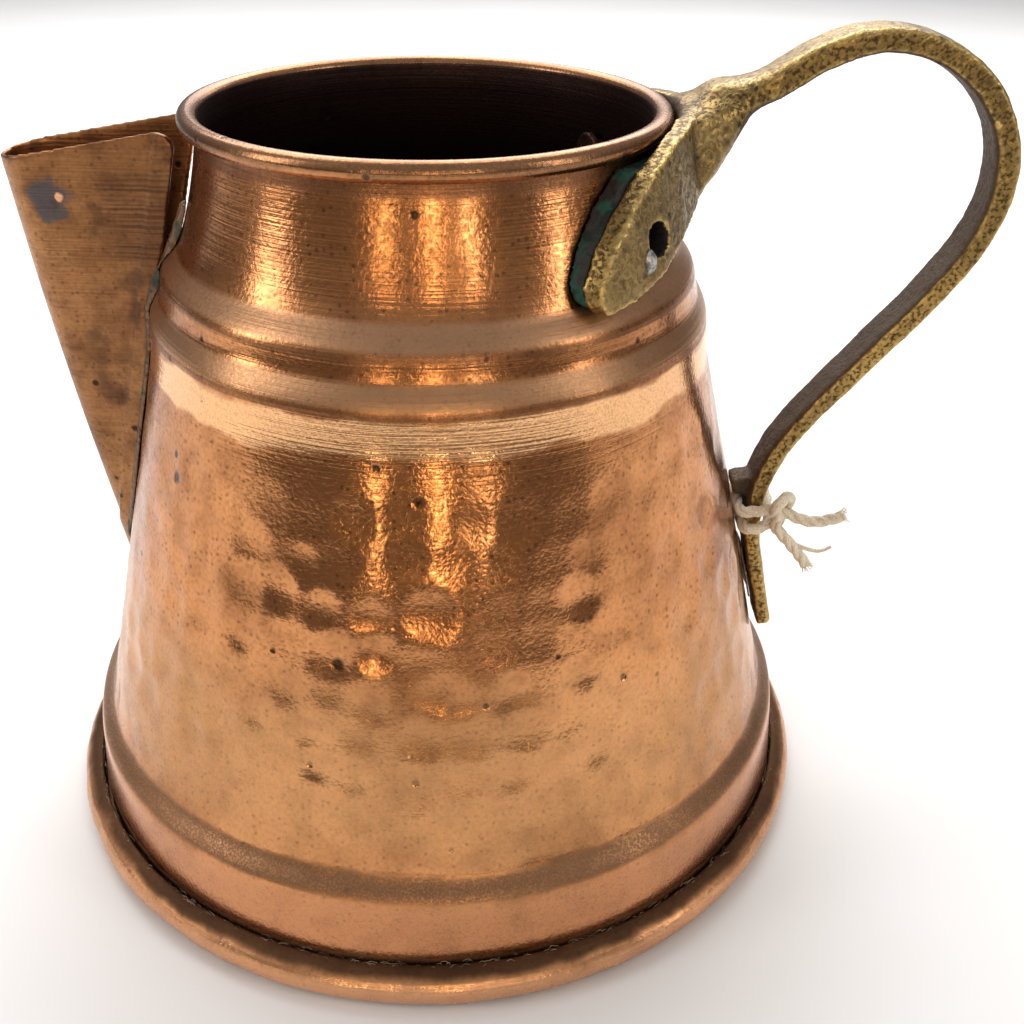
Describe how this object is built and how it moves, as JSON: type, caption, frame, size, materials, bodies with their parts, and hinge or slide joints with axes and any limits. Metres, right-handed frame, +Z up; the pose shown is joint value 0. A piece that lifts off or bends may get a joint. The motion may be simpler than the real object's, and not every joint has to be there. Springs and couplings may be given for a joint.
{
  "type": "pouring jug",
  "caption": "Open conical copper pouring jug with a folded trough spout, wired rim and foot, and a cast brass strap handle with a tied string.",
  "frame": {"origin": "middle of the flat underside, on the axis of the body", "axes": "+Z up along the body's axis, +X towards the handle, -X towards the spout"},
  "size_m": [0.1619, 0.14, 0.1368],
  "materials": {
    "copper": null,
    "wire": "plain steel wire inside the rolls",
    "solder": "dull tin solder with green and black deposits",
    "cast_brass": "rough sand-cast brass with worn edges",
    "rivet": "hammered copper rivet",
    "cotton": "twisted undyed cotton string"
  },
  "bodies": {
    "root": {"body_shell": "copper", "base_plate": "copper", "pour_spout": "copper", "rim_wire": "wire", "foot_wire": "wire", "spout_solder_near": "solder", "spout_solder_far": "solder", "handle": "cast_brass", "wing_solder_near": "solder", "wing_solder_far": "solder", "wing_rivet_far": "rivet", "tail_solder": "solder", "string_wrap": "cotton", "string_knot": "cotton", "string_end_long": "cotton", "string_end_short": "cotton"}
  },
  "joints": []
}
